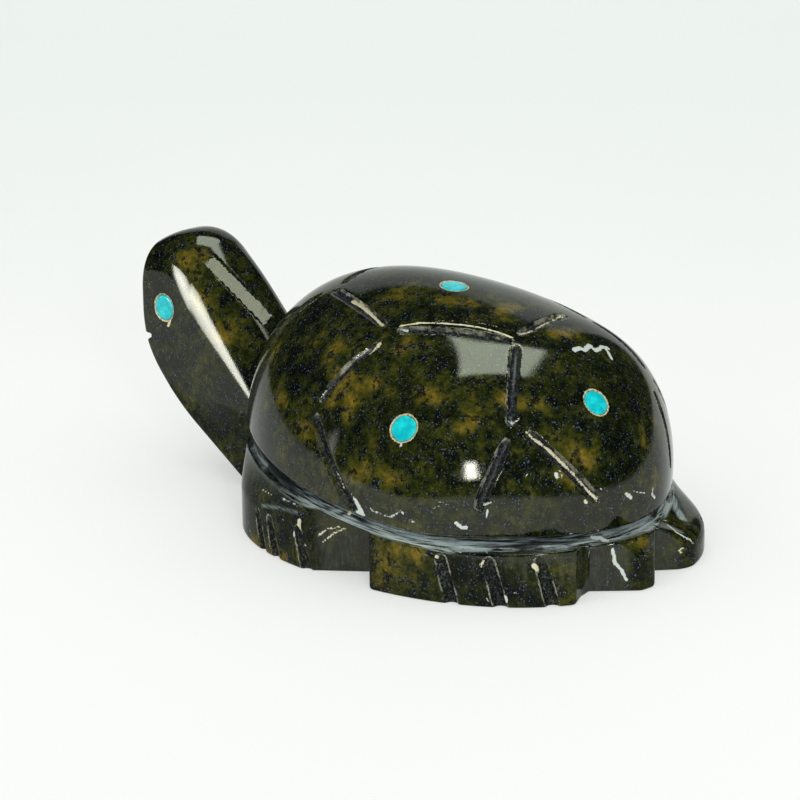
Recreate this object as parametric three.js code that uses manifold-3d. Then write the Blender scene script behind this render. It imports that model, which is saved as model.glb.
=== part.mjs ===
// A small tabletop turtle carved from one piece of dark green stone, with round turquoise inlays.
// Millimetres, +Z up. The head faces -Y, and the turtle's left side is +X.
// The origin is on the flat underside, below the middle of the shell.

import * as THREE from 'three';
import { mergeVertices } from 'three/addons/utils/BufferGeometryUtils.js';
import Module from 'manifold-3d';

const wasm = await Module();
wasm.setup();

// Shell: a dome on a tilted rim, longer towards the head
const SHELL_HALF_WIDTH = 16.6;
const SHELL_FRONT = 27.6;
const SHELL_REAR = 12.9;
const SHELL_HEIGHT = 14.2;
const SHELL_UNDER = 2.6;
const SHELL_CORNER_FLATTENING = 0.25;
const SHELL_ROUNDNESS = 2.185;
const SHELL_BLEND_LENGTH = 4.0;
const TOP_FALL_PER_MM = 0.0135;
const NARROWING_PER_MM = 0.0071;
const RIM_HEIGHT = 5.64;
const RIM_TILT = THREE.MathUtils.degToRad(5.7);
const SHELL_CENTRE = new THREE.Vector3(0, 0, RIM_HEIGHT);

// Groove under the shell's rim, opening steeply above it and less so below it
const RIM_GROOVE_DEPTH = 1.0;
const RIM_GROOVE_HALF_WIDTH = 0.62;
const RIM_GROOVE_RISE = 12;
const RIM_GROOVE_FALL = 8;

// Base: an oval with the feet and the tail left standing between notches
const WALL_OUTSET = 0.1;
const BASE_CENTRE_X = -0.3;
const BASE_CENTRE_Y = -6.0;
const BASE_FRONT = 19.6;
const BASE_REAR = 21.4;
const BASE_SQUARENESS = 2.3;
const UNDERSIDE_EDGE = 0.3;

// Height of the base's top edge round the body, as an angle about the base's centre and a height
const FOOT_EDGE = [
  [-180, 3.9],
  [-90, 4.3],
  [-45, 4.0],
  [-30, 3.8],
  [-12, 4.0],
  [-4, 3.2],
  [17, 4.1],
  [45, 4.5],
  [85, 5.0],
  [89, 5.0],
  [97, 3.8],
  [105, 2.5],
  [150, 2.6],
  [180, 3.9],
];

// Notches, each point as an angle about the base's centre and a depth into its wall
const FOOT_NOTCH = [[-9.5, -0.3], [7.5, 3.3], [16.4, -0.3]];
const TAIL_NOTCH_LEFT = [[66.5, -0.3], [70.9, 1.6], [74.6, 2.4], [80.2, 1.2], [85.4, -0.3]];
const TAIL_NOTCH_RIGHT = [[87.6, -0.3], [93.5, 1.6], [97.0, 2.3], [103.0, -0.3]];
const NOTCH_REACH = 6.0;

// Toe grooves: angle of each groove's top, its slant towards the rear, and its size
const FRONT_TOES = [-32.0, -25.0, -11.5];
const REAR_TOES = [36.4, 47.8, 59.2];
const TOE_SLANT = 3.4;
const TOE_GROOVE_RADIUS = 0.55;
const TOE_TOP_DEPTH = 0.2;
const TOE_FOOT_DEPTH = 0.6;

// Neck and head: one column cut by flat facets, each [ny, nz, y, z] in the plane of symmetry
const HEAD_HALF_WIDTH = 4.45;
const NECK_WIDENING = 0.013;
const HEAD_Y = -38.0;
const NECK_LENGTH = 20.0;
const NAPE = [0.729, 0.684, -31.02, 17.24];
const CROWN = [0.399, 0.917, -35.95, 22.41];
const FOREHEAD = [-0.461, 0.887, -39.75, 21.48];
const SNOUT = [-1.0, 0.004, -41.51, 15.4];
const CHIN = [-0.934, -0.356, -40.89, 11.18];
const THROAT = [-0.739, -0.674, -37.14, 6.52];
const CHEST = [-0.545, -0.84, -31.85, 3.0];
const NAPE_ROUNDING = 5.0;
const HEAD_ROUNDING = 3.6;
const CROWN_ROUNDING = 2.75;
const THROAT_ROUNDING = 0.7;

// Where the neck's rounding starts to tighten into the head's, and over what length
const HEAD_START_Y = -35.0;
const HEAD_BLEND_LENGTH = 6.0;

// Mouth: a short slit across the snout
const MOUTH_HEIGHT = 11.9;
const MOUTH_OPENING = 0.9;
const MOUTH_DEPTH = 1.3;

// Shell lines: each end as the azimuth and elevation of a direction from the shell's centre
const LINE_WIDTH = 0.85;
const LINE_DEPTH = 0.5;
const LINE_TIP_TAPER = 0.2;
const LINE_TIP_WIDTH = 0.4;
const LEFT_LINES = [
  [[-73.6, 38.5], [-68.5, 24.0]],
  [[-73.0, 41.6], [-39.3, 52.5]],
  [[-29.9, 48.8], [-30.3, 26.9]],
  [[-29.7, 23.5], [-7.8, 3.3]],
  [[-32.2, 54.4], [38.9, 70.9]],
  [[43.4, 69.4], [39.6, 36.2]],
  [[38.9, 31.3], [29.4, 8.2]],
  [[46.8, 34.3], [72.3, 8.7]],
];
const MIDDLE_LINES = [
  [[-76.0, 43.0], [-104.0, 43.0]],
  [[48.5, 75.7], [164.1, 69.5]],
];
const RIGHT_LINES = [
  [[-106.4, 38.5], [-111.5, 24.0]],
  [[-107.0, 41.6], [-140.7, 52.5]],
  [[-150.1, 48.8], [-149.7, 26.9]],
  [[-150.3, 23.5], [-172.2, 3.3]],
  [[-147.8, 54.4], [171.7, 58.6]],
  [[166.5, 57.2], [150.0, 37.0]],
  [[150.0, 32.0], [155.0, 8.2]],
  [[140.0, 32.0], [127.4, 6.5]],
];

// Turquoise inlays, set in drilled holes with glue around them
const INLAY_RADIUS = 1.08;
const INLAY_LENGTH = 1.6;
const EYE_RADIUS = 1.15;
const GLUE_GAP = 0.25;
const INLAY_STAND = 0.03;
const SHELL_INLAYS = {
  shell_top: [-86.8, 68.3],
  shell_left: [3.2, 29.3],
  shell_right: [176.8, 29.3],
  shell_rear: [84.8, 42.8],
};
const EYE_Y = -38.25;
const EYE_Z = 15.15;

// Fineness of the facets
const BODY_SIDES = 72;
const SHELL_ROWS = 20;
const UPPER_ROWS = 0.8;
const NECK_SIDES = 32;
const NECK_ROWS = 14;
const LINE_STEPS = 5;
const TOE_SIDES = 10;
const ROUND_SIDES = 18;

const STONE = new THREE.MeshStandardMaterial({ color: 0x1b1f10, roughness: 0.18, metalness: 0 });
const TURQUOISE = new THREE.MeshStandardMaterial({ color: 0x12b5b8, roughness: 0.3, metalness: 0 });

const radians = THREE.MathUtils.degToRad;
const FAR = 2 * (SHELL_FRONT + SHELL_REAR);

// Turns a closed three.js geometry into a solid.
function solid(geometry) {
  const bare = geometry.clone();
  bare.deleteAttribute('normal');
  bare.deleteAttribute('uv');
  const merged = mergeVertices(bare, 1e-5);
  return new wasm.Manifold(new wasm.Mesh({
    numProp: 3,
    vertProperties: new Float32Array(merged.attributes.position.array),
    triVerts: new Uint32Array(merged.index.array),
  }));
}

// Turns a solid back into a named mesh.
function mesh(name, body, material) {
  const data = body.getMesh();
  const geometry = new THREE.BufferGeometry();
  geometry.setAttribute('position', new THREE.BufferAttribute(new Float32Array(data.vertProperties), 3));
  geometry.setIndex(new THREE.BufferAttribute(new Uint32Array(data.triVerts), 1));
  geometry.computeVertexNormals();
  const result = new THREE.Mesh(geometry, material);
  result.name = name;
  return result;
}

// Moves every vertex of a simple closed geometry to its place on a carved form.
function mould(geometry, place) {
  const position = geometry.attributes.position;
  const vertex = new THREE.Vector3();
  for (let i = 0; i < position.count; i += 1) {
    vertex.fromBufferAttribute(position, i);
    const moved = place(vertex);
    position.setXYZ(i, moved.x, moved.y, moved.z);
  }
  return solid(geometry);
}

// Blends the larger of two values over a width, which rounds the edge between two surfaces.
function smoothMax(a, b, width) {
  const share = THREE.MathUtils.clamp(0.5 + 0.5 * (a - b) / width, 0, 1);
  return b + (a - b) * share + width * share * (1 - share);
}

// Finds how far along a direction a level function leaves the form.
function reach(level, from, direction, far) {
  let near = 0;
  let limit = far;
  for (let i = 0; i < 40; i += 1) {
    const middle = (near + limit) / 2;
    if (level(from.clone().addScaledVector(direction, middle)) < 0) near = middle;
    else limit = middle;
  }
  return near;
}

function direction(azimuth, elevation) {
  const a = radians(azimuth);
  const e = radians(elevation);
  return new THREE.Vector3(Math.cos(a) * Math.cos(e), Math.sin(a) * Math.cos(e), Math.sin(e));
}

// Height above the tilted rim, and place over it, of a point in the part's frame.
function rimFrame(p) {
  const rise = p.z - RIM_HEIGHT;
  const along = p.y * Math.cos(RIM_TILT) - rise * Math.sin(RIM_TILT);
  const height = (p.y * Math.sin(RIM_TILT) + rise * Math.cos(RIM_TILT)) / (1 - TOP_FALL_PER_MM * along);
  return new THREE.Vector3(p.x / (1 - NARROWING_PER_MM * along), along, height);
}

// Negative inside the shell's dome, zero on it.
function shellLevel(p) {
  const local = rimFrame(p);
  const mean = (SHELL_FRONT + SHELL_REAR) / 2;
  const halfLength = mean + (SHELL_REAR - mean) * Math.tanh(local.y / SHELL_BLEND_LENGTH);
  const height = local.z > 0 ? SHELL_HEIGHT : SHELL_UNDER;
  const x2 = (local.x / SHELL_HALF_WIDTH) ** 2;
  const y2 = (local.y / halfLength) ** 2;
  const round = x2 + y2 + 1e-9;
  const plan = Math.sqrt(round) * (1 + SHELL_CORNER_FLATTENING * x2 * y2 / (round * round));
  const power = SHELL_ROUNDNESS;
  return (plan ** power + (Math.abs(local.z) / height) ** power) ** (1 / power) - 1;
}

function shellPoint(towards) {
  return SHELL_CENTRE.clone().addScaledVector(towards, reach(shellLevel, SHELL_CENTRE, towards, FAR));
}

function outwards(level, p) {
  const step = 0.01;
  const normal = new THREE.Vector3();
  for (const axis of ['x', 'y', 'z']) {
    const ahead = p.clone();
    const behind = p.clone();
    ahead[axis] += step;
    behind[axis] -= step;
    normal[axis] = level(ahead) - level(behind);
  }
  return normal.normalize();
}

// Height of the rim's plane at a place along the body.
function rimHeight(y) {
  return RIM_HEIGHT - y * Math.tan(RIM_TILT);
}

// The base's wall at an angle about its centre, set in by a depth.
function wallPoint(angle, depth, z) {
  const across = Math.cos(radians(angle));
  const along = Math.sin(radians(angle));
  const halfLength = along < 0 ? BASE_FRONT : BASE_REAR;
  const halfWidth = SHELL_HALF_WIDTH + WALL_OUTSET;
  const acrossShare = Math.abs(across / halfWidth) ** BASE_SQUARENESS;
  const alongShare = Math.abs(along / halfLength) ** BASE_SQUARENESS;
  const radius = (acrossShare + alongShare) ** (-1 / BASE_SQUARENESS) - depth;
  return new THREE.Vector3(BASE_CENTRE_X + radius * across, BASE_CENTRE_Y + radius * along, z);
}

const BODY_CENTRE = new THREE.Vector3(BASE_CENTRE_X, BASE_CENTRE_Y, rimHeight(BASE_CENTRE_Y));

// The way outwards in the rim's plane at an angle about the base's centre.
function rimDirection(angle) {
  const across = Math.cos(radians(angle));
  const along = Math.sin(radians(angle));
  return new THREE.Vector3(across, along, -along * Math.tan(RIM_TILT));
}

// The shell's rim at an angle about the base's centre, set out by a distance and lifted.
function rimPoint(angle, out, lift) {
  const towards = rimDirection(angle);
  const p = BODY_CENTRE.clone().addScaledVector(towards, reach(shellLevel, BODY_CENTRE, towards, FAR) + out);
  p.z += lift;
  return p;
}

function angleOf(vertex) {
  return THREE.MathUtils.radToDeg(Math.atan2(vertex.y, vertex.x));
}

function shellSolid() {
  const sphere = new THREE.SphereGeometry(1, BODY_SIDES, SHELL_ROWS);
  sphere.rotateX(Math.PI / 2);
  return mould(sphere, (vertex) => {
    const fall = Math.acos(THREE.MathUtils.clamp(vertex.z, -1, 1)) / Math.PI;
    const share = fall < UPPER_ROWS ? fall / UPPER_ROWS / 2 : 1 - (1 - fall) / (1 - UPPER_ROWS) / 2;
    const height = share < 0.5 ? SHELL_HEIGHT : SHELL_UNDER;
    const spread = SHELL_HALF_WIDTH * Math.sin(Math.PI * share);
    const towards = rimDirection(angleOf(vertex)).multiplyScalar(spread);
    towards.z += height * Math.cos(Math.PI * share);
    towards.normalize();
    return BODY_CENTRE.clone().addScaledVector(towards, reach(shellLevel, BODY_CENTRE, towards, FAR));
  });
}

// Height of the base's top edge at an angle, from the nearest listed heights on both sides.
function footEdge(angle) {
  const next = FOOT_EDGE.findIndex(([listed]) => listed >= angle - 1e-6);
  const [endAngle, endHeight] = FOOT_EDGE[Math.max(next, 1)];
  const [startAngle, startHeight] = FOOT_EDGE[Math.max(next, 1) - 1];
  const share = THREE.MathUtils.smoothstep(angle, startAngle, endAngle);
  return THREE.MathUtils.lerp(startHeight, endHeight, share);
}

function baseSolid() {
  const rings = [
    (angle) => wallPoint(angle, UNDERSIDE_EDGE, 0),
    (angle) => wallPoint(angle, 0, UNDERSIDE_EDGE),
    (angle) => wallPoint(angle, 0, footEdge(angle)),
    (angle) => rimPoint(angle, 0, -RIM_GROOVE_HALF_WIDTH),
  ];
  const rows = rings.length - 1;
  const drum = new THREE.CylinderGeometry(1, 1, rows, BODY_SIDES, rows);
  drum.rotateX(Math.PI / 2);
  return mould(drum, (vertex) => {
    const row = Math.round(vertex.z + rows / 2);
    if (Math.hypot(vertex.x, vertex.y) < 0.5) {
      const z = row === 0 ? 0 : rimHeight(BASE_CENTRE_Y) - RIM_GROOVE_HALF_WIDTH;
      return new THREE.Vector3(0, BASE_CENTRE_Y, z);
    }
    return rings[row](angleOf(vertex));
  });
}

// A ring with a wedge section: its sharp inner edge is the bottom of the rim's groove.
function rimGrooveSolid() {
  const section = [
    [NOTCH_REACH, RIM_GROOVE_RISE],
    [0, 1],
    [-RIM_GROOVE_DEPTH, 0],
    [0, -1],
    [NOTCH_REACH, RIM_GROOVE_FALL],
  ];
  const tube = new THREE.TorusGeometry(2, 1, section.length, BODY_SIDES);
  return mould(tube, (vertex) => {
    const turn = Math.atan2(vertex.z, Math.hypot(vertex.x, vertex.y) - 2) / (2 * Math.PI);
    const corner = Math.round((turn + 1) * section.length) % section.length;
    const [distance, side] = section[corner];
    return rimPoint(angleOf(vertex), distance, side * RIM_GROOVE_HALF_WIDTH);
  });
}

// The same place across the base's middle line.
function otherSide(x) {
  return 2 * BASE_CENTRE_X - x;
}

function notchSolid(points, mirrored) {
  const first = points[0];
  const last = points[points.length - 1];
  const outline = [...points, [last[0], -NOTCH_REACH], [first[0], -NOTCH_REACH]];
  const corners = outline.map(([angle, depth]) => {
    const p = wallPoint(angle, depth, 0);
    return new THREE.Vector2(mirrored ? otherSide(p.x) : p.x, p.y);
  });
  const options = { depth: 2 * RIM_HEIGHT, bevelEnabled: false };
  const prism = new THREE.ExtrudeGeometry(new THREE.Shape(corners), options);
  prism.translate(0, 0, -1);
  return solid(prism);
}

function rodBetween(from, to, radius, sides) {
  const rod = new THREE.CylinderGeometry(radius, radius, from.distanceTo(to), sides);
  const turn = new THREE.Quaternion().setFromUnitVectors(
    new THREE.Vector3(0, 1, 0),
    to.clone().sub(from).normalize(),
  );
  rod.applyQuaternion(turn);
  const middle = from.clone().add(to).divideScalar(2);
  rod.translate(middle.x, middle.y, middle.z);
  return rod;
}

function toeSolid(angle, mirrored) {
  const top = wallPoint(angle, TOE_TOP_DEPTH - TOE_GROOVE_RADIUS, footEdge(angle) + TOE_GROOVE_RADIUS);
  const foot = wallPoint(angle + TOE_SLANT, TOE_FOOT_DEPTH - TOE_GROOVE_RADIUS, -0.5);
  if (mirrored) {
    top.x = otherSide(top.x);
    foot.x = otherSide(foot.x);
  }
  return solid(rodBetween(foot, top, TOE_GROOVE_RADIUS, TOE_SIDES));
}

function lineSolid([start, end]) {
  const from = shellPoint(direction(...start));
  const to = shellPoint(direction(...end));
  const length = from.distanceTo(to);
  const bar = new THREE.CylinderGeometry(1, 1, 1, 4, LINE_STEPS);
  const along = to.clone().sub(from).normalize();
  return mould(bar, (vertex) => {
    const share = vertex.y + 0.5;
    const towards = from.clone().lerp(to, share).sub(SHELL_CENTRE).normalize();
    const surface = shellPoint(towards);
    const up = outwards(shellLevel, surface);
    const across = new THREE.Vector3().crossVectors(along, up).normalize();
    const taper = Math.max(Math.sqrt(Math.sin(Math.PI * share)), LINE_TIP_TAPER);
    const wide = Math.hypot(vertex.x, vertex.z) < 0.5 ? 0 : 1;
    const side = Math.sign(Math.round(vertex.x));
    const below = Math.sign(Math.round(vertex.z));
    const halfWidth = LINE_WIDTH / 2 * THREE.MathUtils.lerp(LINE_TIP_WIDTH, 1, taper);
    const depth = below < 0 ? -LINE_DEPTH * taper * Math.min(1, length) : LINE_DEPTH;
    return surface
      .addScaledVector(across, wide * side * halfWidth)
      .addScaledVector(up, wide * Math.abs(below) * depth);
  });
}

// Negative inside the half space below a facet of the head.
function facet([ny, nz, y, z], p) {
  return ((p.y - y) * ny + (p.z - z) * nz) / Math.hypot(ny, nz);
}

function neckLevel(p) {
  const side = Math.abs(p.x) - HEAD_HALF_WIDTH - NECK_WIDENING * (p.y - HEAD_Y);
  let above = smoothMax(facet(NAPE, p), facet(CROWN, p), CROWN_ROUNDING);
  above = smoothMax(above, facet(FOREHEAD, p), CROWN_ROUNDING);
  let below = smoothMax(facet(CHIN, p), facet(THROAT, p), THROAT_ROUNDING);
  below = smoothMax(below, facet(CHEST, p), THROAT_ROUNDING);
  below = smoothMax(below, facet(SNOUT, p), THROAT_ROUNDING);
  const forward = THREE.MathUtils.clamp((HEAD_START_Y - p.y) / HEAD_BLEND_LENGTH, 0, 1);
  const sides = smoothMax(side, above, THREE.MathUtils.lerp(NAPE_ROUNDING, HEAD_ROUNDING, forward));
  return Math.max(smoothMax(sides, below, THROAT_ROUNDING), UNDERSIDE_EDGE - p.z);
}

// The neck is built in slices square to the nape, each cast outwards from its own middle.
function neckSolid() {
  const up = new THREE.Vector3(0, NAPE[0], NAPE[1]).normalize();
  const along = new THREE.Vector3(0, -up.z, up.y);
  const core = new THREE.Vector3(0, HEAD_Y, MOUTH_HEIGHT).addScaledVector(up, HEAD_HALF_WIDTH / 2);
  const tip = reach(neckLevel, core, along, FAR);
  const tube = new THREE.CylinderGeometry(1, 1, 1, NECK_SIDES, NECK_ROWS);
  return mould(tube, (vertex) => {
    const share = 1 - (0.5 - vertex.y) ** 2;
    const middle = core.clone().addScaledVector(along, THREE.MathUtils.lerp(-NECK_LENGTH, tip - 0.02, share));
    const above = reach(neckLevel, middle, up, FAR);
    const below = reach(neckLevel, middle, up.clone().negate(), FAR);
    middle.addScaledVector(up, (above - below) / 2);
    const spoke = new THREE.Vector3(-vertex.x * HEAD_HALF_WIDTH, 0, 0);
    spoke.addScaledVector(up, vertex.z * (above + below) / 2);
    if (spoke.length() < 1e-3) return middle;
    return middle.addScaledVector(spoke, reach(neckLevel, middle, spoke, FAR));
  });
}

function mouthSolid() {
  const front = new THREE.Vector3(0, -1, 0);
  const from = new THREE.Vector3(0, HEAD_Y, MOUTH_HEIGHT);
  const lips = from.clone().addScaledVector(front, reach(neckLevel, from, front, FAR));
  const slit = new THREE.BoxGeometry(4 * HEAD_HALF_WIDTH, 2 * MOUTH_DEPTH, MOUTH_OPENING);
  slit.translate(0, lips.y, MOUTH_HEIGHT);
  return solid(slit);
}

// A drilled place on a surface: the point and the way out of the hole.
function shellPlace([azimuth, elevation]) {
  const point = shellPoint(direction(azimuth, elevation));
  return { point, out: outwards(shellLevel, point) };
}

function eyePlace(side) {
  const from = new THREE.Vector3(0, EYE_Y, EYE_Z);
  const towards = new THREE.Vector3(side, 0, 0);
  const point = from.clone().addScaledVector(towards, reach(neckLevel, from, towards, FAR));
  return { point, out: outwards(neckLevel, point) };
}

function plugSolid({ point, out }, radius, length) {
  const rod = rodBetween(
    point.clone().addScaledVector(out, -length),
    point.clone().addScaledVector(out, INLAY_STAND),
    radius,
    ROUND_SIDES,
  );
  return solid(rod);
}

function holeSolid({ point, out }, radius, length) {
  const rod = rodBetween(
    point.clone().addScaledVector(out, -length - GLUE_GAP),
    point.clone().addScaledVector(out, 1),
    radius + GLUE_GAP,
    ROUND_SIDES,
  );
  return solid(rod);
}

const inlays = [];
for (const [name, place] of Object.entries(SHELL_INLAYS)) {
  inlays.push({ name, place: shellPlace(place), radius: INLAY_RADIUS });
}
inlays.push({ name: 'eye_left', place: eyePlace(1), radius: EYE_RADIUS });
inlays.push({ name: 'eye_right', place: eyePlace(-1), radius: EYE_RADIUS });

// The carving: the notched base, the shell and its rim groove, then the neck and the finer cuts
let turtle = baseSolid();
turtle = turtle.subtract(notchSolid(FOOT_NOTCH, false)).subtract(notchSolid(FOOT_NOTCH, true));
turtle = turtle.subtract(notchSolid(TAIL_NOTCH_LEFT, false)).subtract(notchSolid(TAIL_NOTCH_RIGHT, false));
turtle = turtle.add(shellSolid()).subtract(rimGrooveSolid()).add(neckSolid());
for (const mirrored of [false, true]) {
  for (const angle of [...FRONT_TOES, ...REAR_TOES]) {
    turtle = turtle.subtract(toeSolid(angle, mirrored));
  }
}
for (const line of [...LEFT_LINES, ...MIDDLE_LINES, ...RIGHT_LINES]) {
  turtle = turtle.subtract(lineSolid(line));
}
turtle = turtle.subtract(mouthSolid());
for (const { place, radius } of inlays) {
  turtle = turtle.subtract(holeSolid(place, radius, INLAY_LENGTH));
}

const fetish = new THREE.Group();
fetish.add(mesh('turtle_stone', turtle, STONE));
for (const { name, place, radius } of inlays) {
  fetish.add(mesh(`inlay_${name}`, plugSolid(place, radius, INLAY_LENGTH), TURQUOISE));
}

export default fetish;
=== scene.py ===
# A small stone turtle with turquoise inlays: its fine carved surface, its materials, a pale studio.
# The carving's sizes are in millimetres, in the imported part's frame: +Z up, the head towards -Y,
# the turtle's own left at +X. Blender's objects are in metres.
import math

import bpy
import numpy as np
from mathutils import Matrix, Vector


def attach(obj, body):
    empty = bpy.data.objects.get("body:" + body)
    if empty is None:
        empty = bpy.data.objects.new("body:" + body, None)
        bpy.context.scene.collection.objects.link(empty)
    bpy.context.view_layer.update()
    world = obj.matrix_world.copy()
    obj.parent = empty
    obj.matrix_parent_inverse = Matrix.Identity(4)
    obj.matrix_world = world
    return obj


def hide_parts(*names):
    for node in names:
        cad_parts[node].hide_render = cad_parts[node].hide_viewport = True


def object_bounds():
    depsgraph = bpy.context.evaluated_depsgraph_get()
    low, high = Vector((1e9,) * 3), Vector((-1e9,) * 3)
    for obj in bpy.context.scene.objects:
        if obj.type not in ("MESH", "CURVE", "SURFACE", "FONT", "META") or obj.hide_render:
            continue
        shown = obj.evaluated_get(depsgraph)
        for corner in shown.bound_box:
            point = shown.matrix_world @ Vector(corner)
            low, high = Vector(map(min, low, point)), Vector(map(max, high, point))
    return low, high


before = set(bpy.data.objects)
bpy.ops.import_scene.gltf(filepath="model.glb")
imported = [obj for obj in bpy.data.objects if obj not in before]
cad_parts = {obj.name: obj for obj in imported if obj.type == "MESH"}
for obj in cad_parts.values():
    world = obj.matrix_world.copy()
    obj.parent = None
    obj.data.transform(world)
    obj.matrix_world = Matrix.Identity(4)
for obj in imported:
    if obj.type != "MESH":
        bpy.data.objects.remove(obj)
cad_box = [list(corner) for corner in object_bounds()]

MM = 0.001
cad_low, cad_high = np.array(cad_box) / MM
BOX_MARGIN = 0.0005

# Shell: a dome on a tilted rim, longer towards the head
SHELL_HALF_WIDTH = 16.6
SHELL_FRONT = 27.6
SHELL_REAR = 12.9
SHELL_HEIGHT = 14.2
SHELL_UNDER = 2.6
SHELL_CORNER_FLATTENING = 0.25
SHELL_ROUNDNESS = 2.185
SHELL_BLEND_LENGTH = 4.0
TOP_FALL_PER_MM = 0.0135
NARROWING_PER_MM = 0.0071
RIM_HEIGHT = 5.64
RIM_TILT = math.radians(5.7)
SHELL_CENTRE = np.array([0.0, 0.0, RIM_HEIGHT])
RIM_GROOVE_DEPTH = 1.0
RIM_GROOVE_HALF_WIDTH = 0.62
RIM_GROOVE_OPENING = (2.0, 1.5)  # outside the shell, above and below

# Base: an oval with the feet and the tail left standing between notches
WALL_OUTSET = 0.1
BASE_CENTRE = (-0.3, -6.0)
BASE_FRONT = 19.6
BASE_REAR = 21.4
BASE_SQUARENESS = 2.3
BASE_REACH = 4.0
UNDERSIDE_EDGE = 0.3

# Top edge of the base, as an angle about its centre, a height and the rounding of the edge there
FOOT_EDGE = [
    (-180, 3.9, 0.3), (-90, 4.3, 0.4), (-45, 4.0, 0.4), (-30, 3.8, 0.35), (-12, 4.0, 0.3),
    (-4, 3.2, 0.3), (17, 4.1, 0.25), (45, 4.5, 0.25), (85, 5.0, 0.3), (89, 5.0, 0.3),
    (97, 3.8, 0.5), (105, 2.5, 1.1), (150, 2.6, 1.2), (180, 3.9, 0.3),
]
FOOT_NOTCH = [(-9.5, -0.3), (7.5, 3.3), (16.4, -0.3)]
TAIL_NOTCH_LEFT = [(66.5, -0.3), (70.9, 1.6), (74.6, 2.4), (80.2, 1.2), (85.4, -0.3)]
TAIL_NOTCH_RIGHT = [(87.6, -0.3), (93.5, 1.6), (97.0, 2.3), (103.0, -0.3)]
NOTCH_REACH = 6.0
NOTCH_SPAN = 13.0
NOTCH_EDGE = 0.25
SOFT_NOTCH_EDGE = 1.1
SOFT_NOTCH_ANGLES = (97.0, 102.0)

# A small slanting facet on the tail's left shoulder: its outward direction and a point on it
TAIL_FACET_OUT = (0.549, 0.813, 0.197)
TAIL_FACET_POINT = (3.9, 13.1, 4.9)
TAIL_FACET_EDGE = 0.2

FRONT_TOES = [-32.0, -25.0, -11.5]
REAR_TOES = [36.4, 47.8, 59.2]
TOE_SLANT = 3.4
TOE_GROOVE_RADIUS = 0.5
TOE_TOP_DEPTH = 0.22
TOE_FOOT_DEPTH = 0.6
TOE_TOP_GAP = 0.75
TOE_FOOT_Z = -0.6

# Neck and head: one column cut by flat facets, each (ny, nz, y, z) in the plane of symmetry
HEAD_HALF_WIDTH = 4.45
NECK_WIDENING = 0.013
HEAD_Y = -38.0
NAPE = (0.729, 0.684, -31.02, 17.24)
CROWN = (0.399, 0.917, -35.95, 22.41)
FOREHEAD = (-0.461, 0.887, -39.75, 21.48)
SNOUT = (-1.0, 0.004, -41.51, 15.4)
CHIN = (-0.934, -0.356, -40.89, 11.18)
THROAT = (-0.739, -0.674, -37.14, 6.52)
CHEST = (-0.545, -0.84, -31.85, 3.0)
NAPE_ROUNDING = 5.0
HEAD_ROUNDING = 3.6
HEAD_START_Y = -35.0
HEAD_BLEND_LENGTH = 6.0
CROWN_ROUNDING = 2.75
THROAT_ROUNDING = 0.7
NECK_END_Y = -16.0
NECK_END_ROUNDING = 0.5
MOUTH_HEIGHT = 11.9
MOUTH_OPENING = 0.9
MOUTH_DEPTH = 1.3
MOUTH_FLOOR_SLOPE = 0.45
MOUTH_CORNER = 0.1

# A flat band along the left of the nape: its two ends, its outward direction, half its width, and
# where it eases in at its edge
BAND_START = np.array([2.23, -34.48, 19.76])
BAND_END = np.array([0.5, -28.82, 14.82])
BAND_OUT = np.array([0.27, 0.68, 0.68])
BAND_HALF_WIDTH = 0.72
BAND_EASE = (0.12, -0.03)
BAND_REACH = 1.5

# Shell lines: each end as the azimuth and elevation of a direction from the shell's centre
LINE_HALF_WIDTH = 0.43
LINE_DEPTH = 0.5
LINE_TAPER = 1.1
LINE_SCALE = 0.4
SHELL_LINES = [
    ((-73.6, 38.5), (-68.5, 24.0)),
    ((-73.0, 41.6), (-39.3, 52.5)),
    ((-29.9, 48.8), (-30.3, 26.9)),
    ((-29.7, 23.5), (-7.8, 3.3)),
    ((-32.2, 54.4), (38.9, 70.9)),
    ((43.4, 69.4), (39.6, 36.2)),
    ((38.9, 31.3), (29.4, 8.2)),
    ((46.8, 34.3), (72.3, 8.7)),
    ((-76.0, 43.0), (-104.0, 43.0)),
    ((48.5, 75.7), (164.1, 69.5)),
    ((-106.4, 38.5), (-111.5, 24.0)),
    ((-107.0, 41.6), (-140.7, 52.5)),
    ((-150.1, 48.8), (-149.7, 26.9)),
    ((-150.3, 23.5), (-172.2, 3.3)),
    ((-147.8, 54.4), (171.7, 58.6)),
    ((166.5, 57.2), (150.0, 37.0)),
    ((150.0, 32.0), (155.0, 8.2)),
    ((140.0, 32.0), (127.4, 6.5)),
]

# Turquoise inlays in drilled holes, with glue round them
INLAY_RADIUS = 1.08
EYE_RADIUS = 1.15
INLAY_GAP = 0.03
INLAY_POCKET = 0.6
GLUE_WIDTH = 0.2
SHELL_INLAYS = {
    "shell_top": (-86.8, 68.3),
    "shell_left": (3.2, 29.3),
    "shell_right": (176.8, 29.3),
    "shell_rear": (84.8, 42.8),
}
EYE_MIDDLE = np.array([0, -38.25, 15.15])

# Roundings where one form joins another or is cut into it
BASE_JOIN = 0.1
NECK_JOIN = 0.3
GROOVE_EDGE = 0.12
LINE_EDGE = 0.08
MOUTH_EDGE = 0.15
HOLE_EDGE = 0.06

# How far round these their level is worked out, and the level kept beyond
LINE_REACH = 1.5
TOE_REACH = 5.0
HOLE_REACH = 3.0
GLUE_REACH = 2.4
FAR = 1e3

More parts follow.
